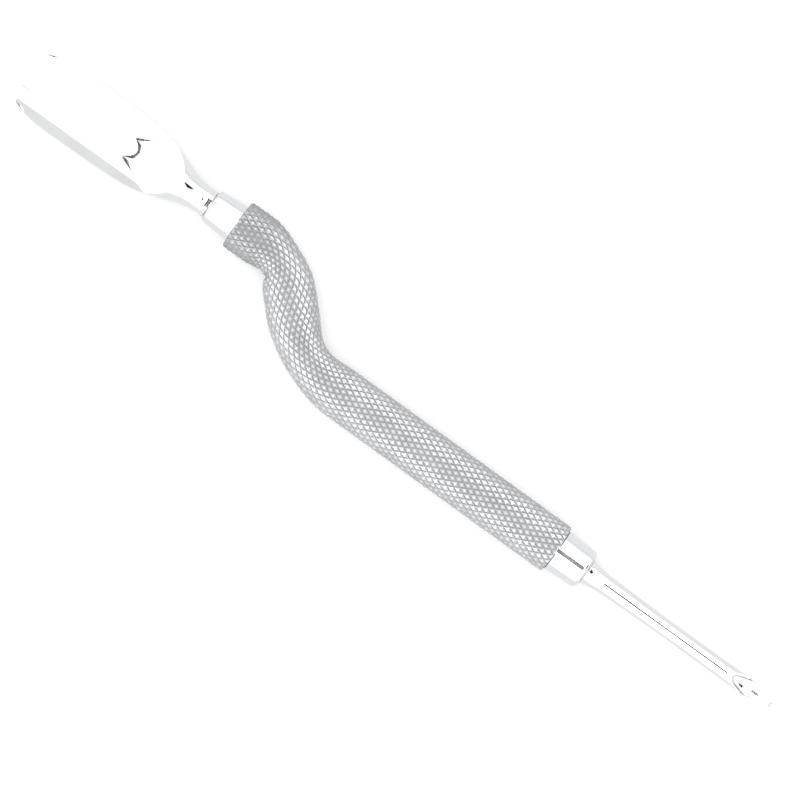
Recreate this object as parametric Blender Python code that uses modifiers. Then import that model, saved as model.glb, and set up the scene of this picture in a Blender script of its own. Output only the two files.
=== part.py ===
"""Double-ended cuticle pusher, lying on its side with the scoop's hollow facing up.

A knurled handle tube with two opposite bends carries a ferrule in each mouth. A broad scoop blade
is pressed into one ferrule and a thin curette blade into the other. Metres, +Z up. +X runs along
the straight grip towards the curette, and the origin is on the table under the middle of the box.
"""

import math

import bmesh
import bpy
from mathutils import Matrix, Vector

MM = 0.001

# Handle tube: a straight grip, two opposite bends and a short straight mouth for the scoop
GRIP_RADIUS = 3.925 * MM
TUBE_WALL = 0.725 * MM
GRIP_LENGTH = 38.3 * MM
GRIP_BEND_RADIUS = 17.0 * MM
MIDDLE_LENGTH = 4.2 * MM
NECK_BEND_RADIUS = 10.0 * MM
MOUTH_LENGTH = 4.0 * MM
BEND_ANGLE = math.radians(45.5)
SCOOP_TILT = math.radians(0.45)
TUBE_SIDES = 32
TUBE_EDGE_BEVEL = 0.2 * MM
TURN_PER_RING = math.radians(4.5)
SHORT_RUN_RINGS = 3

# How far each side of the tube is pushed in at the middle of a bend, and over what half length
NECK_PINCH = 0.8 * MM
NECK_PINCH_REACH = 4.2 * MM
NECK_FLATTENING = 0.5 * MM
NECK_FLATTENING_REACH = 4.8 * MM
GRIP_PINCH = 0.8 * MM
GRIP_PINCH_REACH = 6.5 * MM
GRIP_FLATTENING = 0.3 * MM
GRIP_FLATTENING_REACH = 7.5 * MM

# Fits between the pieces
FIT_GAP = 0.05 * MM
SPIGOT_RADIUS = GRIP_RADIUS - TUBE_WALL - FIT_GAP
SPIGOT_CHAMFER = 0.3 * MM

# Scoop ferrule
SCOOP_COLLAR_LENGTH = 4.7 * MM
SCOOP_COLLAR_FRONT_RADIUS = 2.62 * MM
SCOOP_COLLAR_BACK_RADIUS = 2.92 * MM
SCOOP_COLLAR_EDGE = 0.45 * MM
SCOOP_SPIGOT_LENGTH = 3.0 * MM
SCOOP_TANG_RADIUS = 1.55 * MM
SCOOP_TANG_LENGTH = 7.2 * MM

# Scoop blade, measured from the ferrule's face
SCOOP_REACH = 32.3 * MM
SCOOP_HALF_WIDTH = 5.1 * MM
SCOOP_FRONT_BULGE = 0.9 * MM
SCOOP_FRONT_ZONE = 6.0 * MM
SCOOP_WIDEST_FROM_FRONT = 0.27 * SCOOP_REACH

# The scoop's hollow: a round trough that sinks a little towards the front between two sloping
# lands, and a curved, shallowly grooved ramp from the trough's end up to the neck
TROUGH_RADIUS = 6.1 * MM
TROUGH_FALL = 0.018
LAND_START = 3.5 * MM
LAND_SLOPE = math.tan(math.radians(39.5))
RAMP_FOOT = 13.1 * MM
RAMP_FOOT_SLOPE = 0.13
RAMP_RADIUS = 17.2 * MM
RAMP_GROOVE_HALF_WIDTH = 1.7 * MM
RAMP_GROOVE_RADIUS = 3.5 * MM
HOLLOW_START = 3.0 * MM
HOLLOW_TOP = 8.0 * MM
HOLLOW_HALF_WIDTH = 7.0 * MM

# Curette ferrule
CURETTE_COLLAR_LENGTH = 5.3 * MM
CURETTE_COLLAR_FRONT_RADIUS = 3.1 * MM
CURETTE_COLLAR_BACK_RADIUS = 3.27 * MM
CURETTE_COLLAR_EDGE = 0.6 * MM
CURETTE_SPIGOT_LENGTH = 10.0 * MM
CURETTE_TANG_RADIUS = 1.2 * MM
CURETTE_TANG_LENGTH = 13.0 * MM

# Curette blade, measured from the ferrule's face
CURETTE_REACH = 33.2 * MM
CUP_TOP_START = 24.9 * MM
CUP_TOP_HEIGHT = 1.4 * MM
CUP_FLAT_START = 28.0 * MM
CUP_FLAT_HEIGHT = 0.3 * MM
CUP_CENTRE = 29.6 * MM
CUP_HALF_LENGTH = 3.7 * MM
CUP_HALF_WIDTH = 1.05 * MM
CUP_DEPTH = 0.75 * MM

# Smoothness of the round pieces
FERRULE_STEPS = 48
BLADE_SIDES = 40
SCOOP_STEPS = 34
CURETTE_STEPS = 30
TROUGH_STEPS = 24
RAMP_STEPS = 20
FRONT_STEPS = 8

# How far a cutter stands out past the piece it cuts
CUTTER_MARGIN = 3 * MM

# Sections of the scoop blade: distance from the ferrule's face, half width, height of the widest
# level, height above it and depth below it, all in millimetres
SCOOP_SECTIONS = (
    (0.0, 2.18, 0.0, 2.18, 2.18),
    (1.2, 2.09, 0.0, 2.09, 2.09),
    (3.0, 2.30, 0.05, 2.55, 2.25),
    (4.9, 2.85, 0.20, 3.15, 2.35),
    (7.3, 3.75, 0.70, 3.40, 2.25),
    (10.2, 4.60, 1.30, 3.60, 2.35),
    (14.0, 5.00, 1.80, 3.90, 2.75),
    (20.0, 5.10, 1.90, 4.00, 2.85),
    (27.0, 5.10, 1.90, 4.00, 2.85),
    (30.0, 4.80, 1.85, 4.00, 2.65),
    (31.5, 4.42, 1.80, 3.90, 2.50),
    (32.3, 4.15, 1.75, 3.80, 2.30),
)

# Sections of the curette blade: distance from the ferrule's face, half width, height and depth
CURETTE_SECTIONS = (
    (0.05, 2.15, 2.15, 2.15),
    (0.65, 1.83, 1.83, 1.83),
    (1.8, 1.62, 1.62, 1.62),
    (3.2, 1.48, 1.48, 1.48),
    (6.1, 1.42, 1.42, 1.42),
    (13.3, 1.30, 1.30, 1.30),
    (20.5, 1.30, 1.30, 1.30),
    (24.8, 1.33, 1.33, 1.33),
    (28.4, 1.28, 1.20, 1.20),
    (30.6, 0.94, 0.90, 0.90),
    (32.0, 0.61, 0.55, 0.55),
    (32.9, 0.31, 0.35, 0.28),
    (33.2, 0.10, 0.20, 0.10),
)

# Centre line of the tube from its curette mouth: lengths and curvatures, positive turning left
TUBE_PATH = (
    (GRIP_LENGTH, 0.0),
    (GRIP_BEND_RADIUS * BEND_ANGLE, -1 / GRIP_BEND_RADIUS),
    (MIDDLE_LENGTH, 0.0),
    (NECK_BEND_RADIUS * (BEND_ANGLE + SCOOP_TILT), 1 / NECK_BEND_RADIUS),
    (MOUTH_LENGTH, 0.0),
)
TUBE_LENGTH = sum(length for length, curvature in TUBE_PATH)
GRIP_BEND_MIDDLE = GRIP_LENGTH + TUBE_PATH[1][0] / 2
NECK_BEND_MIDDLE = TUBE_LENGTH - MOUTH_LENGTH - TUBE_PATH[3][0] / 2


def advance(x, y, heading, length, curvature):
    """The point and heading after a stretch of constant curvature."""
    if curvature == 0:
        return x + length * math.cos(heading), y + length * math.sin(heading), heading
    turned = heading + length * curvature
    x += (math.sin(turned) - math.sin(heading)) / curvature
    y -= (math.cos(turned) - math.cos(heading)) / curvature
    return x, y, turned


def tube_point(distance):
    """Centre line point and heading at a distance from the curette mouth, which is at 0, 0."""
    x, y, heading = 0.0, 0.0, math.pi
    for length, curvature in TUBE_PATH:
        step = min(distance, length)
        x, y, heading = advance(x, y, heading, step, curvature)
        distance -= step
    return x, y, heading


def place_in_frame():
    """The curette mouth's place that puts the whole object's box over the origin."""
    x, y, heading = tube_point(TUBE_LENGTH)
    scoop_length = SCOOP_COLLAR_LENGTH + SCOOP_REACH
    left = x + scoop_length * math.cos(heading)
    right = CURETTE_COLLAR_LENGTH + CURETTE_REACH
    widest = scoop_length - SCOOP_WIDEST_FROM_FRONT
    top = y + widest * math.sin(heading) + SCOOP_HALF_WIDTH
    return Vector((-(left + right) / 2, -(top - GRIP_RADIUS) / 2, GRIP_RADIUS))


def new_material(name, colour, roughness):
    """Bare stainless steel."""
    material = bpy.data.materials.new(name)
    material.use_nodes = True
    shader = material.node_tree.nodes["Principled BSDF"]
    shader.inputs["Base Color"].default_value = (*colour, 1.0)
    shader.inputs["Metallic"].default_value = 1.0
    shader.inputs["Roughness"].default_value = roughness
    return material


def new_object(name, mesh, collection, parent=None):
    obj = bpy.data.objects.new(name, mesh)
    obj.parent = parent
    collection.objects.link(obj)
    return obj


def mesh_from(build, name):
    """A mesh whose faces come from a function that fills a bmesh."""
    mesh = bpy.data.meshes.new(name)
    shape = bmesh.new()
    build(shape)
    bmesh.ops.recalc_face_normals(shape, faces=shape.faces)
    shape.to_mesh(mesh)
    shape.free()
    return mesh


def loft(shape, rings, cap=None):
    """Quads between neighbouring rings of points, and an end made by cap on each outer ring."""
    rows = [[shape.verts.new(point) for point in ring] for ring in rings]
    count = len(rows[0])
    for row, following in zip(rows, rows[1:]):
        for i in range(count):
            j = (i + 1) % count
            shape.faces.new((row[i], row[j], following[j], following[i]))
    if cap:
        cap(shape, rows[0])
        cap(shape, rows[-1])


def flat_end(shape, row):
    shape.faces.new(row)


def strip_end(shape, row):
    """Upright strips across an end that may be bowed: each joins two points with the same y."""
    count = len(row)
    shape.faces.new((row[0], row[1], row[-1]))
    for i in range(1, count // 2 - 1):
        shape.faces.new((row[i], row[i + 1], row[count - i - 1], row[count - i]))
    middle = count // 2
    shape.faces.new((row[middle - 1], row[middle], row[middle + 1]))


def shade_round(mesh, angle):
    mesh.shade_smooth()
    mesh.set_sharp_from_angle(angle=math.radians(angle))


def dent(distance, middle, reach):
    """1 at the middle of a bend, falling smoothly to 0 at its reach to either side."""
    share = min(abs(distance - middle) / reach, 1)
    return (1 + math.cos(math.pi * share)) / 2


def tube_ring(distance):
    """The tube's outer section: round, but pushed in on both sides in the plane of a bend."""
    x, y, heading = tube_point(distance)
    neck, grip = NECK_BEND_MIDDLE, GRIP_BEND_MIDDLE
    left = NECK_PINCH * dent(distance, neck, NECK_PINCH_REACH)
    left += GRIP_FLATTENING * dent(distance, grip, GRIP_FLATTENING_REACH)
    right = GRIP_PINCH * dent(distance, grip, GRIP_PINCH_REACH)
    right += NECK_FLATTENING * dent(distance, neck, NECK_FLATTENING_REACH)
    to_corner = 1 / math.cos(math.pi / TUBE_SIDES)
    ring = []
    for i in range(TUBE_SIDES):
        angle = 2 * math.pi * (i + 0.5) / TUBE_SIDES
        aside, up = math.cos(angle) * to_corner, math.sin(angle) * to_corner
        reach = aside * (GRIP_RADIUS - (left if aside > 0 else right))
        offset = Vector((-math.sin(heading) * reach, math.cos(heading) * reach, up * GRIP_RADIUS))
        ring.append(Vector((x, y, 0)) + offset)
    return ring


def tube_stations():
    """Distances of the tube's rings: close together in the bends, apart in the straight runs."""
    stations = [0.0]
    start = 0.0
    for length, curvature in TUBE_PATH:
        steps = max(1, round(length * abs(curvature) / TURN_PER_RING))
        if curvature == 0 and length < GRIP_LENGTH:
            steps = SHORT_RUN_RINGS
        stations += [start + length * (i + 1) / steps for i in range(steps)]
        start += length
    return stations


def make_handle(collection, root, material):
    rings = [tube_ring(distance) for distance in tube_stations()]
    mesh = mesh_from(lambda shape: loft(shape, rings), "knurled_handle_tube")
    mesh.materials.append(material)
    obj = new_object("knurled_handle_tube", mesh, collection, root)
    wall = obj.modifiers.new("Wall", "SOLIDIFY")
    wall.thickness = TUBE_WALL
    wall.offset = -1
    wall.use_even_offset = True
    edges = obj.modifiers.new("Mouth edges", "BEVEL")
    edges.width = TUBE_EDGE_BEVEL
    edges.segments = 1
    edges.limit_method = "ANGLE"
    edges.angle_limit = math.radians(60)
    shade_round(mesh, 40)


def quarter_round(radius, face, edge, count=4):
    """Profile points round a collar's front edge, from its face out to its side."""
    turns = [math.pi / 2 * i / count for i in range(count + 1)]
    return [(radius - edge + edge * math.sin(t), face - edge + edge * math.cos(t)) for t in turns]


def make_ferrule(name, profile, collection, parent, material):
    """Turned bush: a closed profile of radii and distances out of the tube's mouth."""
    mesh = bpy.data.meshes.new(name)
    points = [(radius, 0, along) for radius, along in profile]
    edges = [(i, (i + 1) % len(points)) for i in range(len(points))]
    mesh.from_pydata(points, edges, [])
    mesh.materials.append(material)
    obj = new_object(name, mesh, collection, parent)
    obj.rotation_euler = (0, math.pi / 2, 0)
    turn = obj.modifiers.new("Turn", "SCREW")
    turn.angle = 2 * math.pi
    turn.steps = FERRULE_STEPS
    turn.render_steps = FERRULE_STEPS
    turn.use_smooth_shade = True
    turn.use_merge_vertices = True
    turn.merge_threshold = 0.00001


def make_scoop_ferrule(collection, parent, material):
    bore = SCOOP_TANG_RADIUS + FIT_GAP
    face = SCOOP_COLLAR_LENGTH
    end = -SCOOP_SPIGOT_LENGTH
    profile = [(bore, face)]
    profile += quarter_round(SCOOP_COLLAR_FRONT_RADIUS, face, SCOOP_COLLAR_EDGE)
    profile += [(SCOOP_COLLAR_BACK_RADIUS, 0.0), (SPIGOT_RADIUS, 0.0)]
    profile += [(SPIGOT_RADIUS, end + SPIGOT_CHAMFER), (SPIGOT_RADIUS - SPIGOT_CHAMFER, end), (bore, end)]
    make_ferrule("scoop_ferrule", profile, collection, parent, material)


def make_curette_ferrule(collection, parent, material):
    bore = CURETTE_TANG_RADIUS + FIT_GAP
    face = CURETTE_COLLAR_LENGTH
    end = -CURETTE_SPIGOT_LENGTH
    back = CURETTE_COLLAR_BACK_RADIUS
    profile = [(bore, face)]
    profile += quarter_round(CURETTE_COLLAR_FRONT_RADIUS, face, CURETTE_COLLAR_EDGE)
    profile += [(back, back - SPIGOT_RADIUS + FIT_GAP), (SPIGOT_RADIUS, FIT_GAP)]
    profile += [(SPIGOT_RADIUS, end + SPIGOT_CHAMFER), (SPIGOT_RADIUS - SPIGOT_CHAMFER, end), (bore, end)]
    make_ferrule("curette_ferrule", profile, collection, parent, material)


def between(sections, distance):
    """A section's sizes at a distance, on a smooth curve through the sections given."""
    last = len(sections) - 2
    i = max(0, min(last, sum(row[0] <= distance for row in sections) - 1))
    a, b = sections[i], sections[i + 1]
    before = sections[i - 1] if i else a
    after = sections[i + 2] if i < last else b
    span = b[0] - a[0]
    t = (distance - a[0]) / span
    sizes = []
    for k in range(1, len(a)):
        slope_a = (b[k] - before[k]) / (b[0] - before[0]) * span
        slope_b = (after[k] - a[k]) / (after[0] - a[0]) * span
        curve = (2 * t**3 - 3 * t**2 + 1) * a[k] + (3 * t**2 - 2 * t**3) * b[k]
        sizes.append(curve + (t**3 - 2 * t**2 + t) * slope_a + (t**3 - t**2) * slope_b)
    return sizes


def section_ring(along, half_width, level, height, depth):
    """An upright oval with its own height above and depth below the widest level."""
    ring = []
    for i in range(BLADE_SIDES):
        angle = 2 * math.pi * i / BLADE_SIDES
        up = math.sin(angle)
        rise = up * (height if up > 0 else depth)
        ring.append(Vector((along, half_width * math.cos(angle), level + rise)))
    return ring


def bulge_front(ring):
    """Bows the scoop's front edge outwards in plan: the sides stand back from the middle."""
    bowed = []
    for point in ring:
        share = max(0.0, 1 - (SCOOP_REACH - point.x) / SCOOP_FRONT_ZONE)
        back = SCOOP_FRONT_BULGE * share * (point.y / SCOOP_SECTIONS[-1][1] / MM) ** 2
        bowed.append(Vector((point.x - back, point.y, point.z)))
    return bowed


def scoop_rings():
    ends = (-SCOOP_TANG_LENGTH, FIT_GAP)
    tang = SCOOP_TANG_RADIUS
    rings = [section_ring(along, tang, 0.0, tang, tang) for along in ends]
    for i in range(SCOOP_STEPS + 1):
        distance = (FIT_GAP + (SCOOP_REACH - FIT_GAP) * i / SCOOP_STEPS) / MM
        sizes = [size * MM for size in between(SCOOP_SECTIONS, distance)]
        rings.append(bulge_front(section_ring(distance * MM, *sizes)))
    return rings


def hollow_height(along, across):
    """Height of the scoop's upper face: the trough and its lands, or the ramp where it is higher."""
    aside = abs(across)
    floor = -TROUGH_FALL * (along - RAMP_FOOT)
    trough = floor + TROUGH_RADIUS - math.sqrt(TROUGH_RADIUS**2 - min(aside, LAND_START) ** 2)
    trough += LAND_SLOPE * max(aside - LAND_START, 0)
    behind = RAMP_FOOT - along
    ramp = floor + RAMP_FOOT_SLOPE * behind + max(behind, 0) ** 2 / (2 * RAMP_RADIUS)
    ramp += min(aside, RAMP_GROOVE_HALF_WIDTH) ** 2 / (2 * RAMP_GROOVE_RADIUS)
    return max(trough, ramp)


def flat_cutter(collection, parent):
    """A prism across the curette's end that leaves a short slope and then a flat."""
    front = CURETTE_REACH + CUTTER_MARGIN
    outline = [(CUP_TOP_START, CUP_TOP_HEIGHT), (CUP_FLAT_START, CUP_FLAT_HEIGHT)]
    outline += [(front, CUP_FLAT_HEIGHT), (front, CUTTER_MARGIN), (CUP_TOP_START, CUTTER_MARGIN)]
    sides = [[(x, y, z) for x, z in outline] for y in (-CUTTER_MARGIN, CUTTER_MARGIN)]
    mesh = mesh_from(lambda shape: loft(shape, sides, flat_end), "flat_cutter")
    return as_cutter(new_object("flat_cutter", mesh, collection, parent))


def as_cutter(obj):
    obj.hide_render = True
    obj.display_type = "WIRE"
    return obj


def hollow_cutter(collection, parent):
    """Everything above the scoop's upper face, as a loft along the blade."""
    front = SCOOP_REACH + CUTTER_MARGIN
    ramp_step = (RAMP_FOOT - HOLLOW_START) / RAMP_STEPS
    front_step = (front - RAMP_FOOT) / FRONT_STEPS
    stations = [HOLLOW_START + ramp_step * i for i in range(RAMP_STEPS)]
    stations += [RAMP_FOOT + front_step * i for i in range(FRONT_STEPS + 1)]
    places = [LAND_START * (2 * i / TROUGH_STEPS - 1) for i in range(TROUGH_STEPS + 1)]
    places = [-HOLLOW_HALF_WIDTH, *places, HOLLOW_HALF_WIDTH]
    rings = []
    for along in stations:
        ring = [(along, across, hollow_height(along, across)) for across in places]
        ring += [(along, HOLLOW_HALF_WIDTH, HOLLOW_TOP), (along, -HOLLOW_HALF_WIDTH, HOLLOW_TOP)]
        rings.append(ring)
    mesh = mesh_from(lambda shape: loft(shape, rings, flat_end), "hollow_cutter")
    return as_cutter(new_object("hollow_cutter", mesh, collection, parent))


def cut_away(obj, cutter):
    cut = obj.modifiers.new(cutter.name, "BOOLEAN")
    cut.operation = "DIFFERENCE"
    cut.solver = "EXACT"
    cut.object = cutter


def make_scoop(collection, cutters, parent, material):
    rings = scoop_rings()
    mesh = mesh_from(lambda shape: loft(shape, rings, strip_end), "scoop_blade")
    mesh.materials.append(material)
    obj = new_object("scoop_blade", mesh, collection, parent)
    cut_away(obj, hollow_cutter(cutters, parent))
    shade_round(mesh, 30)


def cup_cutter(collection, parent):
    """A long drop-shaped hollow in the curette's flat."""

    def build(shape):
        size = (CUP_HALF_LENGTH, CUP_HALF_WIDTH, CUP_DEPTH, 1)
        place = Matrix.Translation((CUP_CENTRE, 0, CUP_FLAT_HEIGHT)) @ Matrix.Diagonal(size)
        bmesh.ops.create_uvsphere(shape, u_segments=24, v_segments=16, radius=1, matrix=place)

    return as_cutter(new_object("cup_cutter", mesh_from(build, "cup_cutter"), collection, parent))


def curette_rings():
    tang = CURETTE_TANG_RADIUS
    rings = [section_ring(along, tang, 0.0, tang, tang) for along in (-CURETTE_TANG_LENGTH, FIT_GAP)]
    start = CURETTE_SECTIONS[0][0]
    stations = [row[0] for row in CURETTE_SECTIONS]
    reach = CURETTE_REACH / MM - start
    stations += [start + reach * i / CURETTE_STEPS for i in range(1, CURETTE_STEPS)]
    for distance in sorted(set(stations)):
        half_width, height, depth = (size * MM for size in between(CURETTE_SECTIONS, distance))
        rings.append(section_ring(distance * MM, half_width, 0.0, height, depth))
    return rings


def make_curette(collection, cutters, parent, material):
    rings = curette_rings()
    mesh = mesh_from(lambda shape: loft(shape, rings, strip_end), "curette_blade")
    mesh.materials.append(material)
    obj = new_object("curette_blade", mesh, collection, parent)
    cut_away(obj, flat_cutter(cutters, parent))
    cut_away(obj, cup_cutter(cutters, parent))
    shade_round(mesh, 30)


def new_empty(name, collection, place, turn, parent=None):
    obj = bpy.data.objects.new(name, None)
    obj.location = place
    obj.rotation_euler = (0, 0, turn)
    obj.parent = parent
    collection.objects.link(obj)
    return obj


def clear_scene():
    for obj in list(bpy.data.objects):
        bpy.data.objects.remove(obj)


def new_collection(name):
    collection = bpy.data.collections.new(name)
    bpy.context.scene.collection.children.link(collection)
    return collection


def main():
    clear_scene()
    parts = new_collection("cuticle_pusher")
    cutters = new_collection("cutters")
    cutters.hide_render = True
    knurled = new_material("knurled_steel", (0.56, 0.57, 0.58), 0.35)
    polished = new_material("polished_steel", (0.80, 0.81, 0.82), 0.08)
    bright = new_material("bright_steel", (0.74, 0.75, 0.76), 0.12)

    root = new_empty("handle_frame", parts, place_in_frame(), 0.0)
    x, y, heading = tube_point(TUBE_LENGTH)
    scoop_mouth = new_empty("scoop_mouth", parts, (x, y, 0), heading, root)
    curette_mouth = new_empty("curette_mouth", parts, (0, 0, 0), 0.0, root)
    scoop_face = new_empty("scoop_face", parts, (SCOOP_COLLAR_LENGTH, 0, 0), 0.0, scoop_mouth)
    curette_face = new_empty("curette_face", parts, (CURETTE_COLLAR_LENGTH, 0, 0), 0.0, curette_mouth)

    make_handle(parts, root, knurled)
    make_scoop_ferrule(parts, scoop_mouth, bright)
    make_scoop(parts, cutters, scoop_face, polished)
    make_curette_ferrule(parts, curette_mouth, bright)
    make_curette(parts, cutters, curette_face, polished)


main()
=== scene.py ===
import math

import bmesh
import bpy
import numpy as np
from mathutils import Matrix, Vector


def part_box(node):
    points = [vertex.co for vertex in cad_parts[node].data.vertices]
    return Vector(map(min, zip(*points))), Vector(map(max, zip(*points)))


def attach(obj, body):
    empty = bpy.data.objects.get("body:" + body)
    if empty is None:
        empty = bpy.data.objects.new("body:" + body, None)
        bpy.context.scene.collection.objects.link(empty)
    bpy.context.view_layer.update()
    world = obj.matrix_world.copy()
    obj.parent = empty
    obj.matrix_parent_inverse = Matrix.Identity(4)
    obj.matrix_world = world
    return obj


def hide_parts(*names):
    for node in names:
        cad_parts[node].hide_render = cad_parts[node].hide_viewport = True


# The looks of a double-ended steel cuticle pusher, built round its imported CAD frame. Every CAD
# piece is replaced by a finer one of the same size: the handle gets its cut diamond knurl, the
# ferrules their turned surface, and the two blades their polished faces and crisp edges.
# Lengths are in millimetres until a mesh is made.

MM = 0.001

# Handle tube: a straight grip, two opposite bends and a short straight mouth for the scoop
GRIP_RADIUS = 3.925
TUBE_WALL = 0.725
GRIP_LENGTH = 38.3
GRIP_BEND_RADIUS = 17.0
MIDDLE_LENGTH = 4.2
NECK_BEND_RADIUS = 10.0
MOUTH_LENGTH = 4.0
BEND_ANGLE = math.radians(45.5)
SCOOP_TILT = math.radians(0.45)

# How far each side of the tube is pushed in at the middle of a bend, and over what half length
NECK_PINCH = (0.8, 4.2)
NECK_FLATTENING = (0.5, 4.8)
GRIP_PINCH = (0.8, 6.5)
GRIP_FLATTENING = (0.3, 7.5)

# The fold on the inner side of the neck bend, and the ripple just before it
FOLD_DEPTH = 0.42
FOLD_HALF_LENGTH = 0.45
FOLD_FROM_NECK_MIDDLE = -1.3
RIPPLE_HEIGHT = 0.16
RIPPLE_HALF_LENGTH = 0.8
RIPPLE_FROM_NECK_MIDDLE = 1.5

# Diamond knurl. The crown start is the share of a diamond's height at which its flat top begins;
# painted shade darkens the fold, and the tube is darker towards the scoop's mouth, each by a share of the
# knurl's tone.
DIAMONDS_AROUND = 24
KNURL_PITCH = 1.655
KNURL_DEPTH = 0.3
CROWN_START = 0.95
FOLD_PAINTED_SHADE = 1.0
MOUTH_DARKENING = 0.45
STEPS_PER_DIAMOND = 8
WORN_LEAST = 0.78
WORN_SPREAD = 0.22
WORN_SEED = 11
MOUTH_CHAMFER = 0.28
BORE_ROW_STRIDE = 8

# Ferrules: collar length, front radius, back radius and edge radius, spigot and bore. The necking
# is the groove behind the scoop's collar: its depth and its width.
FIT_GAP = 0.05
SPIGOT_RADIUS = GRIP_RADIUS - TUBE_WALL - FIT_GAP
SPIGOT_CHAMFER = 0.3
BORE_CHAMFER = 0.1
BACK_CHAMFER = 0.08
NECKING = (0.35, 0.06)
SCOOP_COLLAR = {"length": 4.7, "front": 2.62, "back": 2.92, "edge": 0.45, "spigot": 3.0, "bore": 1.6}
CURETTE_COLLAR = {"length": 5.3, "front": 3.1, "back": 3.27, "edge": 0.6, "spigot": 10.0, "bore": 1.25}
LATHE_STEPS = 192
COLLAR_RINGS = (0.02, 0.5, 0.98)

# Scoop blade, measured from the ferrule's face
SCOOP_TANG = (7.2, 1.55)
SCOOP_REACH = 32.3
SCOOP_FRONT_BULGE = 0.9
SCOOP_FRONT_ZONE = 6.0
TROUGH_RADIUS = 6.1
TROUGH_FALL = 0.018
LAND_START = 3.5
LAND_STEP = (0.14, 0.09)
LAND_SLOPE = math.tan(math.radians(39.5))
RAMP_FOOT = 13.1
RAMP_FOOT_SLOPE = 0.13
RAMP_RADIUS = 17.2
RAMP_GROOVE_HALF_WIDTH = 1.7
RAMP_GROOVE_RADIUS = 3.5
CREASE_SOFTNESS = 0.09

# Curette blade, measured from the ferrule's face
CURETTE_TANG = (13.0, 1.2)
CURETTE_REACH = 33.2
CUP_TOP_START = 24.9
CUP_FLAT_START = 28.0
CUP_TOP_HEIGHT = 1.4
CUP_FLAT_HEIGHT = 0.3
CUP_CENTRE = 29.6
CUP_HALF_LENGTH = 3.7
CUP_HALF_WIDTH = 1.25
CUP_DEPTH = 0.75

# Sections of the scoop blade: distance, half width, widest level, height above and depth below it
SCOOP_SECTIONS = (
    (0.0, 2.18, 0.0, 2.18, 2.18),
    (1.2, 2.09, 0.0, 2.09, 2.09),
    (3.0, 2.30, 0.05, 2.55, 2.25),
    (4.9, 2.85, 0.20, 3.15, 2.35),
    (7.3, 3.75, 0.70, 3.40, 2.25),
    (10.2, 4.60, 1.30, 3.60, 2.35),
    (14.0, 5.00, 1.80, 3.90, 2.75),
    (20.0, 5.10, 1.90, 4.00, 2.85),
    (27.0, 5.10, 1.90, 4.00, 2.85),
    (30.0, 4.80, 1.85, 4.00, 2.65),
    (31.5, 4.42, 1.80, 3.90, 2.50),
    (32.3, 4.15, 1.75, 3.80, 2.30),
)

# Sections of the curette blade: distance, half width, widest level, height and depth
CURETTE_SECTIONS = (
    (0.05, 2.15, 0.0, 2.15, 2.15),
    (0.65, 1.83, 0.0, 1.83, 1.83),
    (1.8, 1.62, 0.0, 1.62, 1.62),
    (3.2, 1.48, 0.0, 1.48, 1.48),
    (6.1, 1.42, 0.0, 1.42, 1.42),
    (13.3, 1.30, 0.0, 1.30, 1.30),
    (20.5, 1.30, 0.0, 1.30, 1.30),
    (24.8, 1.33, 0.0, 1.33, 1.33),
    (28.4, 1.28, 0.0, 1.20, 1.20),
    (30.6, 0.94, 0.0, 0.90, 0.90),
    (32.0, 0.61, 0.0, 0.55, 0.55),
    (32.9, 0.31, 0.0, 0.35, 0.28),
    (33.2, 0.10, 0.0, 0.20, 0.10),
)

# Both blades: points round a row and across each land, and the small steps at the tang and the foot
BLADE_COLUMNS = 104
LAND_COLUMNS = 4
TANG_CHAMFER = 0.3
TANG_END_SHARE = 0.85
FOOT_CHAMFER = 0.08
FOOT_SHARE = 0.96
HOLLOW_LARGEST_SHARE = 0.985

# Degrees between faces above which an edge is drawn sharp
GRIP_SHARP = 40
FERRULE_SHARP = 30
BLADE_SHARP = 28

# Camera: straight above, turned so that the tool lies across the picture's diagonal
CAMERA_TURN = math.radians(35.87)
CAMERA_AIM = (0.00072, -0.00177)
CAMERA_LENS = 200.0
CAMERA_SENSOR = 36.0
VIEW_WIDTH = 0.1151

# Studio, in metres and watts
FLOOR_SIZE = 4.0
FLOOR_COLOUR = (0.32, 0.32, 0.322)
FLOOR_GLOW = 0.42
SKY_HIGH = 1.8
SKY_LOW = 1.22
GREY_TOP = math.radians(17.4)
KEY_SIZE = 0.9
KEY_PLACE = (-0.1, -0.03, 1.0)
KEY_POWER = 12.0

# Dark cards for the steel to mirror: name, angle round from +X, angle down from straight above,
# distance in metres, length outwards and width in metres, and grey level
CARDS = (
    ("arm_card", 0, 11, 0.50, (0.085, 0.20), 0.20),
    ("stand_card", 20, 52, 0.60, (0.30, 0.22), 0.02),
    ("bar_card", 180, 21.9, 0.50, (0.066, 0.62), 0.15),
)

# Centre line of the tube from its curette mouth: lengths and curvatures, positive turning left
TUBE_PATH = (
    (GRIP_LENGTH, 0.0),
    (GRIP_BEND_RADIUS * BEND_ANGLE, -1 / GRIP_BEND_RADIUS),
    (MIDDLE_LENGTH, 0.0),
    (NECK_BEND_RADIUS * (BEND_ANGLE + SCOOP_TILT), 1 / NECK_BEND_RADIUS),
    (MOUTH_LENGTH, 0.0),
)
TUBE_LENGTH = sum(length for length, curvature in TUBE_PATH)
GRIP_BEND_MIDDLE = GRIP_LENGTH + TUBE_PATH[1][0] / 2
NECK_BEND_MIDDLE = TUBE_LENGTH - MOUTH_LENGTH - TUBE_PATH[3][0] / 2


# ---------------------------------------------------------------- meshes

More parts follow.
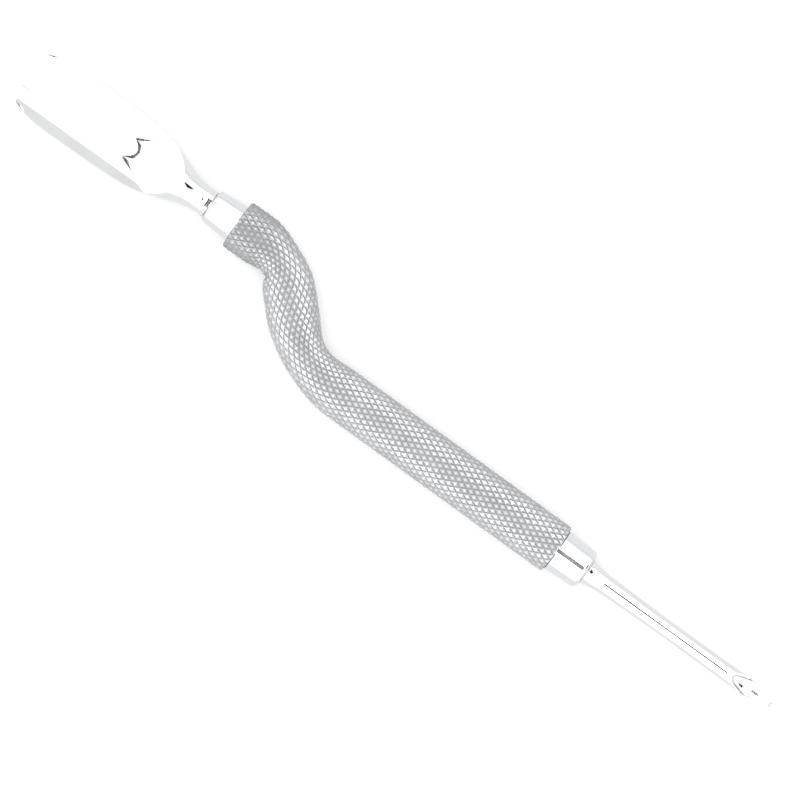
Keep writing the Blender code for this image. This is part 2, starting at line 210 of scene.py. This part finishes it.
def new_piece(name, points, faces, place, sharp_angle):
    """A piece made of a mesh in millimetres, set in place in the frame and shaded smooth."""
    mesh = bpy.data.meshes.new(name)
    mesh.from_pydata((np.asarray(points) * MM).tolist(), [], faces)
    shape = bmesh.new()
    shape.from_mesh(mesh)
    bmesh.ops.recalc_face_normals(shape, faces=shape.faces)
    shape.to_mesh(mesh)
    shape.free()
    mesh.transform(place)
    mesh.shade_smooth()
    mesh.set_sharp_from_angle(angle=math.radians(sharp_angle))
    obj = bpy.data.objects.new(name, mesh)
    bpy.context.scene.collection.objects.link(obj)
    return obj


def strip_faces(first, second, count, closed=True):
    """Quads between two rows of points, given by the numbers of their first points."""
    last = count if closed else count - 1
    faces = []
    for i in range(last):
        j = (i + 1) % count
        faces.append((first + i, first + j, second + j, second + i))
    return faces


# ---------------------------------------------------------------- handle tube

def advance(x, y, heading, length, curvature):
    """The point and heading after a stretch of constant curvature."""
    if curvature == 0:
        return x + length * math.cos(heading), y + length * math.sin(heading), heading
    turned = heading + length * curvature
    x += (math.sin(turned) - math.sin(heading)) / curvature
    y -= (math.cos(turned) - math.cos(heading)) / curvature
    return x, y, turned


def tube_point(distance):
    """Centre line point and heading at a distance from the curette mouth, which is at 0, 0."""
    x, y, heading = 0.0, 0.0, math.pi
    for length, curvature in TUBE_PATH:
        step = min(distance, length)
        x, y, heading = advance(x, y, heading, step, curvature)
        distance -= step
    return x, y, heading


def dent(distance, middle, size):
    """A push of the given depth at the middle of a bend, fading out over its reach."""
    depth, reach = size
    share = min(abs(distance - middle) / reach, 1)
    return depth * (1 + math.cos(math.pi * share)) / 2


def bump_at(distance, middle, half_length):
    """A bell curve of height 1 about a middle."""
    return math.exp(-(((distance - middle) / half_length) ** 2))


def fold(distance, angles):
    """Depth of the fold on the inner side of the neck bend, less the ripple before it."""
    inside = np.clip(np.cos(angles), 0, 1)
    middle = NECK_BEND_MIDDLE
    depth = FOLD_DEPTH * bump_at(distance, middle + FOLD_FROM_NECK_MIDDLE, FOLD_HALF_LENGTH)
    ripple = RIPPLE_HEIGHT * bump_at(distance, middle + RIPPLE_FROM_NECK_MIDDLE, RIPPLE_HALF_LENGTH)
    return (depth - ripple) * inside**3


def tube_row(distance, angles, depth):
    """Points round the tube at a distance, sunk by a depth below its outer skin."""
    x, y, heading = tube_point(distance)
    neck, grip = NECK_BEND_MIDDLE, GRIP_BEND_MIDDLE
    left = dent(distance, neck, NECK_PINCH) + dent(distance, grip, GRIP_FLATTENING)
    right = dent(distance, grip, GRIP_PINCH) + dent(distance, neck, NECK_FLATTENING)
    aside, up = np.cos(angles), np.sin(angles)
    sunk = depth + fold(distance, angles)
    reach = aside * (GRIP_RADIUS - np.where(aside > 0, left, right) - sunk)
    height = up * (GRIP_RADIUS - sunk)
    row = np.empty((len(angles), 3))
    row[:, 0] = x - math.sin(heading) * reach
    row[:, 1] = y + math.cos(heading) * reach
    row[:, 2] = height
    return row


def ridge(value):
    """0 where the value is whole, rising evenly to 1 halfway between."""
    return 1 - np.abs(2 * np.mod(value, 1) - 1)


def knurl_pattern(around, along):
    """Height of the diamonds, 0 in the grooves and about 1 on the crowns, at grid places."""
    first, second = around + along, around - along
    level = np.minimum(ridge(first), ridge(second))
    row = np.floor(first).astype(int) - np.floor(second).astype(int)
    column = np.mod(np.floor(first) + np.floor(second), 2 * DIAMONDS_AROUND).astype(int)
    chance = np.random.default_rng(WORN_SEED).random((int(row.max() - row.min()) + 1, 2 * DIAMONDS_AROUND))
    worn = WORN_LEAST + WORN_SPREAD * chance[row - row.min(), column]
    return np.clip(level / CROWN_START, 0, 1) * worn


def knurl_faces(rows, columns, around, along):
    """Triangles of the knurl, each split along the groove that its slope runs beside."""
    i, j = np.meshgrid(np.arange(columns), np.arange(rows - 1))
    middle_around = around[:-1] + 0.5 / STEPS_PER_DIAMOND
    middle_along = along[:-1] + 0.5 / STEPS_PER_DIAMOND
    turned = ridge(middle_around + middle_along) < ridge(middle_around - middle_along)
    a = j * columns + i
    b = j * columns + (i + 1) % columns
    c, d = b + columns, a + columns
    one = np.where(turned[..., None], np.stack((a, b, d), -1), np.stack((a, b, c), -1))
    two = np.where(turned[..., None], np.stack((b, c, d), -1), np.stack((a, c, d), -1))
    return np.concatenate((one.reshape(-1, 3), two.reshape(-1, 3))).tolist()


def make_grip(place):
    """The handle tube with its knurl cut into it, its bore and its chamfered mouths."""
    columns = DIAMONDS_AROUND * STEPS_PER_DIAMOND
    rows = round(TUBE_LENGTH / KNURL_PITCH * STEPS_PER_DIAMOND) + 1
    distances = np.linspace(0, TUBE_LENGTH, rows)
    angles = 2 * np.pi * np.arange(columns) / columns
    around, along = np.meshgrid(np.arange(columns) / STEPS_PER_DIAMOND, np.arange(rows) / STEPS_PER_DIAMOND)
    crown = knurl_pattern(around, along)
    to_mouth = np.minimum(distances, TUBE_LENGTH - distances)
    chamfer = np.clip(MOUTH_CHAMFER - to_mouth, 0, None)[:, None]
    depth = np.maximum((1 - crown) * KNURL_DEPTH, chamfer)
    points = [tube_row(distances[k], angles, depth[k]) for k in range(rows)]
    faces = knurl_faces(rows, columns, around, along)
    bore_rows = list(range(rows - 1, -1, -BORE_ROW_STRIDE))
    if bore_rows[-1] != 0:
        bore_rows.append(0)
    points += [tube_row(distances[k], angles, TUBE_WALL) for k in bore_rows]
    for k in range(len(bore_rows)):
        above = (rows - 1 + k) * columns
        faces += strip_faces(above, above + columns, columns)
    faces += strip_faces((rows + len(bore_rows) - 1) * columns, 0, columns)
    obj = new_piece("knurled_grip", np.concatenate(points), faces, place, GRIP_SHARP)
    # painted shade in the fold on the inner side of the neck bend, darkest where the fold is deepest
    fold_shade_and_mouth_darkening = np.array([FOLD_PAINTED_SHADE * np.clip(fold(d, angles), 0, None) / FOLD_DEPTH for d in distances])
    # the knurl's tone is darker towards the scoop's mouth, from the middle of the neck bend on
    fold_shade_and_mouth_darkening += MOUTH_DARKENING * np.clip((distances - NECK_BEND_MIDDLE) / MOUTH_LENGTH, 0, 1)[:, None]
    tone = np.concatenate(((crown - fold_shade_and_mouth_darkening).ravel(), np.zeros(len(bore_rows) * columns)))
    # the crown attribute sets the knurl's colour: a painted highlight on the crowns, painted shade in the
    # grooves and the fold; the bore takes the grooves' tone
    attribute = obj.data.attributes.new("crown", "FLOAT", "POINT")
    attribute.data.foreach_set("value", tone.astype(np.float32))
    return obj


# ---------------------------------------------------------------- ferrules

def lathe(name, profile, place):
    """A turned piece round the local X axis: a closed profile of radii and distances."""
    turns = 2 * np.pi * np.arange(LATHE_STEPS) / LATHE_STEPS
    points = []
    for radius, along in profile:
        ring = np.stack((np.full(LATHE_STEPS, along), radius * np.cos(turns), radius * np.sin(turns)), -1)
        points.append(ring)
    faces = []
    for k in range(len(profile)):
        following = (k + 1) % len(profile)
        faces += strip_faces(k * LATHE_STEPS, following * LATHE_STEPS, LATHE_STEPS)
    return new_piece(name, np.concatenate(points), faces, place, FERRULE_SHARP)


def quarter_round(radius, face, edge, count=10):
    """Profile points round a collar's front edge, from its face out to its side."""
    turns = [math.pi / 2 * i / count for i in range(count + 1)]
    return [(radius - edge + edge * math.sin(t), face - edge + edge * math.cos(t)) for t in turns]


def make_collar(name, size, back_of_collar, place):
    """A ferrule: bore, rounded front edge, tapered collar and the spigot inside the tube."""
    face, end, bore = size["length"], -size["spigot"], size["bore"]
    profile = [(bore, face - BORE_CHAMFER), (bore + BORE_CHAMFER, face)]
    profile += quarter_round(size["front"], face, size["edge"])
    front, back = size["front"], size["back"]
    side_start, side_end = face - size["edge"], back_of_collar[0][1]
    for share in COLLAR_RINGS:
        profile.append((front + (back - front) * share, side_start + (side_end - side_start) * share))
    profile += back_of_collar
    profile += [(SPIGOT_RADIUS, end + SPIGOT_CHAMFER), (SPIGOT_RADIUS - SPIGOT_CHAMFER, end), (bore, end)]
    return lathe(name, profile, place)


# ---------------------------------------------------------------- blades

def between(sections, distance):
    """A section's sizes at a distance, on a smooth curve through the sections given."""
    last = len(sections) - 2
    i = max(0, min(last, sum(row[0] <= distance for row in sections) - 1))
    a, b = sections[i], sections[i + 1]
    before = sections[i - 1] if i else a
    after = sections[i + 2] if i < last else b
    span = b[0] - a[0]
    t = (distance - a[0]) / span
    sizes = []
    for k in range(1, len(a)):
        slope_a = (b[k] - before[k]) / (b[0] - before[0]) * span
        slope_b = (after[k] - a[k]) / (after[0] - a[0]) * span
        curve = (2 * t**3 - 3 * t**2 + 1) * a[k] + (3 * t**2 - 2 * t**3) * b[k]
        sizes.append(curve + (t**3 - 2 * t**2 + t) * slope_a + (t**3 - t**2) * slope_b)
    return sizes


def oval_points(along, half_width, level, height, depth, angles):
    """Points round an oval section whose upper and lower halves have their own heights."""
    up = np.sin(angles)
    rise = np.where(up > 0, up * height, up * depth)
    return np.stack((np.full(len(angles), along), half_width * np.cos(angles), level + rise), -1)


def halving(is_low, low, high):
    """The place between two others where a test turns from true to false."""
    for _ in range(40):
        middle = (low + high) / 2
        if is_low(middle):
            low = middle
        else:
            high = middle
    return high


def cut_start(shape):
    """Where the cutting surface first meets the top of the bar."""

    def whole(along):
        half_width, level, height, depth = between(shape["sections"], along)
        return float(shape["top"](along, 0.0)) > level + height

    return halving(whole, *shape["search"])


def edge_angle(shape, along, sizes):
    """Angle round the oval at which its upper side reaches the cut top."""

    def below(angle):
        point = shape["bow"](oval_points(along, *sizes, np.array([angle])))[0]
        return point[2] < float(shape["top"](point[0], point[1]))

    return halving(below, 0.0, math.pi / 2)


def make_blade(name, shape, place):
    """A bar of changing oval section whose top is cut away to a surface, with a round tang."""
    sections, bow = shape["sections"], shape["bow"]
    count = BLADE_COLUMNS + 1
    points, faces = [], []
    tang_length, tang_radius = shape["tang"]
    round_angles = np.pi / 2 - 2 * np.pi * np.arange(BLADE_COLUMNS) / BLADE_COLUMNS
    tang = (tang_radius, 0.0, tang_radius, tang_radius)
    end = [TANG_END_SHARE * size for size in tang]
    points.append(oval_points(-tang_length, *end, round_angles))
    points.append(oval_points(TANG_CHAMFER - tang_length, *tang, round_angles))
    points.append(oval_points(FIT_GAP, *tang, round_angles))
    start = between(sections, FIT_GAP)
    points.append(oval_points(FIT_GAP, *[FOOT_SHARE * size for size in start], round_angles))
    apex = cut_start(shape)
    for along in np.linspace(FIT_GAP + FOOT_CHAMFER, apex, shape["neck_rows"]):
        points.append(oval_points(along, *between(sections, along), round_angles))
    closed_rows = len(points)
    faces.append(tuple(range(BLADE_COLUMNS)))
    for k in range(closed_rows - 1):
        faces += strip_faces(k * BLADE_COLUMNS, (k + 1) * BLADE_COLUMNS, BLADE_COLUMNS)

    used = closed_rows * BLADE_COLUMNS
    seam = used - BLADE_COLUMNS
    under_last = [seam + i for i in range(BLADE_COLUMNS)] + [seam]
    top_last = [seam] * count
    for along in shape["stations"](apex):
        sizes = between(sections, along)
        edge = edge_angle(shape, along, sizes)
        under_angles = np.linspace(edge, -math.pi - edge, count)
        under = bow(oval_points(along, *sizes, under_angles))
        half = sizes[0] * math.cos(edge)
        inner = min(shape["inner"](along), half * HOLLOW_LARGEST_SHARE)
        across = column_places(half, inner, shape["spread"](along, inner))
        top = bow(np.stack((np.full(count, along), across, np.zeros(count)), -1))
        top[:, 2] = shape["top"](top[:, 0], top[:, 1])
        top[0], top[-1] = under[0], under[-1]
        points += [under, top[1:-1]]
        under_now = [used + i for i in range(count)]
        top_now = [used] + [used + count + i for i in range(count - 2)] + [used + count - 1]
        used += 2 * count - 2
        faces += joined(under_last, under_now) + joined(top_now, top_last)
        under_last, top_last = under_now, top_now
    faces += joined(under_last, top_last)
    return new_piece(name, np.concatenate(points), faces, place, BLADE_SHARP)


def joined(first, second):
    """Faces between two rows of point numbers, as triangles where two points are one."""
    faces = []
    for i in range(len(first) - 1):
        corners = (first[i], first[i + 1], second[i + 1], second[i])
        kept = tuple(dict.fromkeys(corners))
        if len(kept) > 2:
            faces.append(kept)
    return faces


def column_places(half, inner, inside):
    """Places across the cut top: a narrow land, the hollow between, and the other land."""
    land = np.linspace(half, inner, LAND_COLUMNS + 1)
    return np.concatenate((land, inside[1:-1], -land[::-1]))


def soft_max(a, b, softness):
    """The greater of two heights, with the corner between them rounded."""
    return (a + b + np.sqrt((a - b) ** 2 + softness**2)) / 2


def scoop_top(along, across):
    """Height of the scoop's upper face: a round trough between sloping lands, and the curved
    ramp that rises from it to the neck."""
    aside = np.abs(across)
    floor = -TROUGH_FALL * (along - RAMP_FOOT)
    step_width, step_height = LAND_STEP
    trough = floor + TROUGH_RADIUS - np.sqrt(TROUGH_RADIUS**2 - np.minimum(aside, LAND_START) ** 2)
    trough = trough + step_height * np.clip((aside - LAND_START) / step_width, 0, 1)
    trough = trough + LAND_SLOPE * np.clip(aside - LAND_START - step_width, 0, None)
    behind = RAMP_FOOT - along
    ramp = floor + RAMP_FOOT_SLOPE * behind + np.clip(behind, 0, None) ** 2 / (2 * RAMP_RADIUS)
    groove = aside**2 / (2 * RAMP_GROOVE_RADIUS)
    shoulder = RAMP_GROOVE_HALF_WIDTH**2 / (2 * RAMP_GROOVE_RADIUS)
    ramp = ramp - soft_max(-groove, -shoulder, CREASE_SOFTNESS)
    return soft_max(trough, ramp, CREASE_SOFTNESS)


def scoop_inner(along):
    """Half width of the trough with the steps beside it."""
    return LAND_START + LAND_STEP[0]


def scoop_spread(along, inner):
    """Places across the trough, evenly spaced round its curve, and the foot of each step."""
    edge = inner * LAND_START / (LAND_START + LAND_STEP[0])
    steep = math.asin(edge / TROUGH_RADIUS)
    count = BLADE_COLUMNS - 1 - 2 * LAND_COLUMNS
    curve = TROUGH_RADIUS * np.sin(np.linspace(steep, -steep, count))
    return np.concatenate(([inner], curve, [-inner]))


def bow_scoop(row):
    """Bows the scoop's front edge outwards in plan: the sides stand back from the middle."""
    share = np.clip(1 - (SCOOP_REACH - row[:, 0]) / SCOOP_FRONT_ZONE, 0, None)
    row[:, 0] -= SCOOP_FRONT_BULGE * share * (row[:, 1] / SCOOP_SECTIONS[-1][1]) ** 2
    return row


def scoop_stations(apex):
    """Rows of the cut part, closest together about the crease and at the front."""
    rear = apex + (8.0 - apex) * (np.arange(1, 61) / 60) ** 2
    crease = np.linspace(8.0, 14.5, 86)[1:]
    body = np.linspace(14.5, 27.0, 40)[1:]
    front = np.linspace(27.0, SCOOP_REACH, 54)[1:]
    return np.concatenate((rear, crease, body, front))


def make_scoop(place):
    """The broad scoop blade with its neck and tang."""
    shape = {
        "sections": SCOOP_SECTIONS,
        "tang": SCOOP_TANG,
        "search": (3.0, 8.0),
        "neck_rows": 40,
        "stations": scoop_stations,
        "inner": scoop_inner,
        "spread": scoop_spread,
        "top": scoop_top,
        "bow": bow_scoop,
    }
    return make_blade("scoop_polished", shape, place)


def curette_cap(along):
    """Highest level left at the curette's end: a short ramp and then a flat."""
    share = np.clip((along - CUP_TOP_START) / (CUP_FLAT_START - CUP_TOP_START), 0, 1)
    flat = CUP_TOP_HEIGHT + (CUP_FLAT_HEIGHT - CUP_TOP_HEIGHT) * share
    distances = [row[0] for row in CURETTE_SECTIONS]
    tips = np.interp(along, distances, [row[3] for row in CURETTE_SECTIONS])
    return np.where(along > CUP_FLAT_START, np.minimum(flat, 0.9 * tips), flat)


def hollow_share(along):
    """Square of the hollow's half width at a distance, as a share of its greatest."""
    return np.clip(1 - ((along - CUP_CENTRE) / CUP_HALF_LENGTH) ** 2, 0, 1)


def curette_top(along, across):
    """The flat with a long drop-shaped hollow sunk in it."""
    inside = np.clip(hollow_share(along) - (across / CUP_HALF_WIDTH) ** 2, 0, 1)
    return curette_cap(along) - CUP_DEPTH * np.sqrt(inside)


def curette_inner(along):
    """Half width of the cup's hollow, kept above nothing at its ends."""
    share = float(hollow_share(along))
    return max(CUP_HALF_WIDTH * math.sqrt(share), 0.05)


def curette_spread(along, inner):
    """Places across the hollow, closest together at its edges."""
    turns = np.linspace(0, math.pi, BLADE_COLUMNS + 1 - 2 * LAND_COLUMNS)
    return inner * np.cos(turns)


def curette_stations(apex):
    """Rows of the cut part, closest together where the cut begins."""
    rear = apex + (CUP_FLAT_START - apex) * (np.arange(1, 31) / 30) ** 2
    return np.concatenate((rear, np.linspace(CUP_FLAT_START, CURETTE_REACH, 90)[1:]))


def make_curette(place):
    """The thin shank with its pointed cup and its tang."""
    shape = {
        "sections": CURETTE_SECTIONS,
        "tang": CURETTE_TANG,
        "search": (23.0, CUP_FLAT_START),
        "neck_rows": 120,
        "stations": curette_stations,
        "inner": curette_inner,
        "spread": curette_spread,
        "top": curette_top,
        "bow": lambda row: row,
    }
    return make_blade("curette_polished", shape, place)


# ---------------------------------------------------------------- materials

def add_node(tree, kind, **values):
    """A shader node with its sockets or settings set by name."""
    made = tree.nodes.new(kind)
    for name, value in values.items():
        if hasattr(made, name):
            setattr(made, name, value)
        else:
            made.inputs[name.replace("_", " ")].default_value = value
    return made


def ramp_node(tree, source, stops):
    """A colour ramp fed by a socket: stops are places and grey levels or colours."""
    ramp = tree.nodes.new("ShaderNodeValToRGB")
    while len(ramp.color_ramp.elements) < len(stops):
        ramp.color_ramp.elements.new(0.5)
    for element, (place, colour) in zip(ramp.color_ramp.elements, stops):
        element.position = place
        element.color = (colour, colour, colour, 1) if isinstance(colour, float) else (*colour, 1)
    tree.links.new(source, ramp.inputs["Fac"])
    return ramp.outputs["Color"]


def noise(tree, scale, stretch=(1, 1, 1), detail=3.0):
    """Noise in the frame's own coordinates, with features of about 1 / scale metres."""
    coordinates = tree.nodes.new("ShaderNodeTexCoord")
    mapping = tree.nodes.new("ShaderNodeMapping")
    mapping.inputs["Scale"].default_value = stretch
    texture = add_node(tree, "ShaderNodeTexNoise", Scale=scale, Detail=detail)
    tree.links.new(coordinates.outputs["Object"], mapping.inputs["Vector"])
    tree.links.new(mapping.outputs["Vector"], texture.inputs["Vector"])
    return texture.outputs["Fac"]


def combine(tree, operation, first, second):
    """Two sockets or numbers joined by one arithmetic step."""
    step = tree.nodes.new("ShaderNodeMath")
    step.operation = operation
    for socket, value in zip(step.inputs, (first, second)):
        if isinstance(value, float):
            socket.default_value = value
        else:
            tree.links.new(value, socket)
    return step.outputs["Value"]


def new_steel(name):
    """A metal material with its node tree and shader."""
    material = bpy.data.materials.new(name)
    material.use_nodes = True
    shader = material.node_tree.nodes["Principled BSDF"]
    shader.inputs["Metallic"].default_value = 1.0
    return material, material.node_tree, shader


def add_bump(tree, shader, height, distance, strength):
    """Fine relief on a shader from a height socket; the distance is in metres."""
    bump = add_node(tree, "ShaderNodeBump", Distance=distance, Strength=strength)
    tree.links.new(height, bump.inputs["Height"])
    tree.links.new(bump.outputs["Normal"], shader.inputs["Normal"])


def polished_steel():
    """Mirror-polished stainless steel with faint smudges and fine lengthwise polishing lines."""
    material, tree, shader = new_steel("polished_steel")
    smudge = noise(tree, 260.0, detail=4.0)
    lines = noise(tree, 1.0, stretch=(260.0, 9000.0, 9000.0), detail=2.0)
    colour = ramp_node(tree, smudge, [(0.3, (0.595, 0.60, 0.607)), (0.7, (0.63, 0.635, 0.64))])
    tree.links.new(colour, shader.inputs["Base Color"])
    rough = combine(tree, "MULTIPLY", combine(tree, "MULTIPLY", smudge, lines), 0.26)
    tree.links.new(combine(tree, "ADD", rough, 0.02), shader.inputs["Roughness"])
    add_bump(tree, shader, lines, 0.0000015, 0.35)
    return material


def turned_steel():
    """Bright steel off the lathe: fine rings round the axis under a light polish."""
    material, tree, shader = new_steel("turned_steel")
    smudge = noise(tree, 300.0, detail=4.0)
    rings = noise(tree, 1.0, stretch=(11000.0, 180.0, 180.0), detail=2.0)
    colour = ramp_node(tree, rings, [(0.3, (0.585, 0.59, 0.598)), (0.7, (0.62, 0.625, 0.63))])
    tree.links.new(colour, shader.inputs["Base Color"])
    rough = combine(tree, "MULTIPLY", smudge, 0.16)
    tree.links.new(combine(tree, "ADD", rough, 0.03), shader.inputs["Roughness"])
    add_bump(tree, shader, rings, 0.000002, 0.4)
    return material


def knurled_steel():
    """Satin knurl, its colour set by the crown attribute: crowns bright as worn steel and as a painted
    highlight, flanks duller and painted shade low in the grooves.
    """
    material, tree, shader = new_steel("knurled_steel")
    crown = tree.nodes.new("ShaderNodeAttribute")
    crown.attribute_name = "crown"
    grain = noise(tree, 6000.0, detail=3.0)
    wear = noise(tree, 350.0, detail=2.0)
    level = combine(tree, "ADD", crown.outputs["Fac"], combine(tree, "MULTIPLY", wear, 0.3))
    level = combine(tree, "SUBTRACT", level, 0.15)
    # the colour stops paint shade in the grooves and a highlight on the crowns, the crowns' brightness
    # partly real wear
    stops = [(0.05, (0.27, 0.275, 0.282)), (0.7, (0.43, 0.435, 0.442)), (0.98, (0.60, 0.605, 0.61))]
    tree.links.new(ramp_node(tree, level, stops), shader.inputs["Base Color"])
    rough = ramp_node(tree, level, [(0.0, 0.55), (0.6, 0.36), (0.95, 0.2)])
    rough = combine(tree, "ADD", rough, combine(tree, "MULTIPLY", grain, 0.1))
    tree.links.new(rough, shader.inputs["Roughness"])
    add_bump(tree, shader, grain, 0.000006, 0.5)
    return material


def pale_surface():
    """Matt pale table top that glows a little, with a barely visible grain."""
    material = bpy.data.materials.new("pale_surface")
    material.use_nodes = True
    tree = material.node_tree
    shader = tree.nodes["Principled BSDF"]
    shader.inputs["Roughness"].default_value = 0.9
    shader.inputs["Specular IOR Level"].default_value = 0.1
    shader.inputs["Emission Color"].default_value = (1.0, 1.0, 1.0, 1.0)
    shader.inputs["Emission Strength"].default_value = FLOOR_GLOW
    grain = noise(tree, 900.0, detail=2.0)
    low = tuple(0.99 * value for value in FLOOR_COLOUR)
    tree.links.new(ramp_node(tree, grain, [(0.3, low), (0.7, FLOOR_COLOUR)]), shader.inputs["Base Color"])
    return material


# ---------------------------------------------------------------- studio

def make_floor():
    """The plain surface that the tool lies on."""
    half = FLOOR_SIZE / 2
    mesh = bpy.data.meshes.new("floor")
    corners = [(-half, -half, 0), (half, -half, 0), (half, half, 0), (-half, half, 0)]
    mesh.from_pydata(corners, [], [(0, 1, 2, 3)])
    mesh.materials.append(pale_surface())
    floor = bpy.data.objects.new("floor", mesh)
    bpy.context.scene.collection.objects.link(floor)


def make_sky():
    """Even white light from above, falling to a greyer band low down on the +Y side."""
    world = bpy.data.worlds.new("studio")
    bpy.context.scene.world = world
    world.use_nodes = True
    tree = world.node_tree
    direction = tree.nodes.new("ShaderNodeTexCoord")
    parts = tree.nodes.new("ShaderNodeSeparateXYZ")
    tree.links.new(direction.outputs["Generated"], parts.inputs[0])
    shift = combine(tree, "MULTIPLY", parts.outputs["Y"], -math.tan(GREY_TOP))
    level = combine(tree, "ADD", parts.outputs["Z"], shift)
    grey = ramp_node(tree, level, [(0.0, SKY_LOW / SKY_HIGH), (0.03, 1.0)])
    background = tree.nodes["Background"]
    tree.links.new(grey, background.inputs["Color"])
    background.inputs["Strength"].default_value = SKY_HIGH


def make_key():
    """A broad soft lamp almost straight above the tool."""
    data = bpy.data.lights.new("key", "AREA")
    data.size = KEY_SIZE
    data.energy = KEY_POWER
    lamp = bpy.data.objects.new("key", data)
    bpy.context.scene.collection.objects.link(lamp)
    lamp.location = KEY_PLACE
    lamp.rotation_euler = Vector(KEY_PLACE).to_track_quat("Z", "Y").to_euler()


def make_card(name, azimuth, zenith, distance, size, grey):
    """A card seen only in reflections, facing the tool."""
    half_length, half_width = size[0] / 2, size[1] / 2
    corners = [(-half_length, -half_width, 0), (half_length, -half_width, 0)]
    corners += [(half_length, half_width, 0), (-half_length, half_width, 0)]
    mesh = bpy.data.meshes.new(name)
    mesh.from_pydata(corners, [], [(0, 1, 2, 3)])
    material = bpy.data.materials.new(name)
    material.use_nodes = True
    tree = material.node_tree
    tree.nodes.clear()
    glow = add_node(tree, "ShaderNodeEmission", Color=(grey, grey, grey, 1), Strength=1.0)
    output = tree.nodes.new("ShaderNodeOutputMaterial")
    tree.links.new(glow.outputs[0], output.inputs["Surface"])
    mesh.materials.append(material)
    card = bpy.data.objects.new(name, mesh)
    bpy.context.scene.collection.objects.link(card)
    card.rotation_euler = (0, math.radians(zenith), math.radians(azimuth))
    card.location = card.rotation_euler.to_matrix() @ Vector((0, 0, distance))
    card.visible_camera = False
    card.visible_diffuse = False
    card.visible_shadow = False
    card.visible_transmission = False


def make_camera():
    """Straight above the tool, far enough for a flat view, turned as the tool lies."""
    data = bpy.data.cameras.new("camera")
    data.lens = CAMERA_LENS
    data.sensor_width = CAMERA_SENSOR
    camera = bpy.data.objects.new("camera", data)
    bpy.context.scene.collection.objects.link(camera)
    axis_height = GRIP_RADIUS * MM
    height = axis_height + VIEW_WIDTH * CAMERA_LENS / CAMERA_SENSOR
    camera.location = (*CAMERA_AIM, height)
    camera.rotation_euler = (0, 0, CAMERA_TURN)
    data.clip_start = 0.01
    data.clip_end = 20.0
    bpy.context.scene.camera = camera


# ---------------------------------------------------------------- assembly

def finish_piece(piece, material, node):
    """Gives a piece its material, hangs it under the root body and hides the CAD node it stands for."""
    piece.data.materials.append(material)
    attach(piece, "root")
    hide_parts(node)


def make_tool():
    """The five pieces, placed from the handle's box in the frame."""
    low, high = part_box("knurled_handle_tube")
    radius = GRIP_RADIUS * MM
    curette_mouth = Matrix.Translation((high.x, low.y + radius, low.z + radius))
    x, y, heading = tube_point(TUBE_LENGTH)
    scoop_mouth = curette_mouth @ Matrix.Translation((x * MM, y * MM, 0)) @ Matrix.Rotation(heading, 4, "Z")
    scoop_face = scoop_mouth @ Matrix.Translation((SCOOP_COLLAR["length"] * MM, 0, 0))
    curette_face = curette_mouth @ Matrix.Translation((CURETTE_COLLAR["length"] * MM, 0, 0))

    turned, polished = turned_steel(), polished_steel()
    finish_piece(make_grip(curette_mouth), knurled_steel(), "knurled_handle_tube")
    wide = SCOOP_COLLAR["back"]
    neck_radius, neck_end = SPIGOT_RADIUS - NECKING[0], -NECKING[1]
    back = [(wide, BACK_CHAMFER), (wide - BACK_CHAMFER, 0.0), (neck_radius, 0.0)]
    back += [(neck_radius, neck_end), (SPIGOT_RADIUS, neck_end)]
    collar = make_collar("scoop_collar", SCOOP_COLLAR, back, scoop_mouth)
    finish_piece(collar, turned, "scoop_ferrule")
    wide = CURETTE_COLLAR["back"]
    back = [(wide, wide - SPIGOT_RADIUS + FIT_GAP), (SPIGOT_RADIUS, FIT_GAP)]
    collar = make_collar("curette_collar", CURETTE_COLLAR, back, curette_mouth)
    finish_piece(collar, turned, "curette_ferrule")
    finish_piece(make_scoop(scoop_face), polished, "scoop_blade")
    finish_piece(make_curette(curette_face), polished, "curette_blade")


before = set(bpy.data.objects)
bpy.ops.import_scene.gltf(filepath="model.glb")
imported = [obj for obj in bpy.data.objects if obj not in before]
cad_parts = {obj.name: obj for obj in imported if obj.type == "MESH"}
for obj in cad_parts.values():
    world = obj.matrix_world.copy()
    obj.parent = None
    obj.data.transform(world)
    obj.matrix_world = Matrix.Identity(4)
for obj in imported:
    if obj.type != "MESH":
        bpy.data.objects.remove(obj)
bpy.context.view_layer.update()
bpy.context.scene.view_settings.view_transform = "Standard"
make_camera()
make_floor()
make_sky()
make_key()
for card in CARDS:
    make_card(*card)
make_tool()
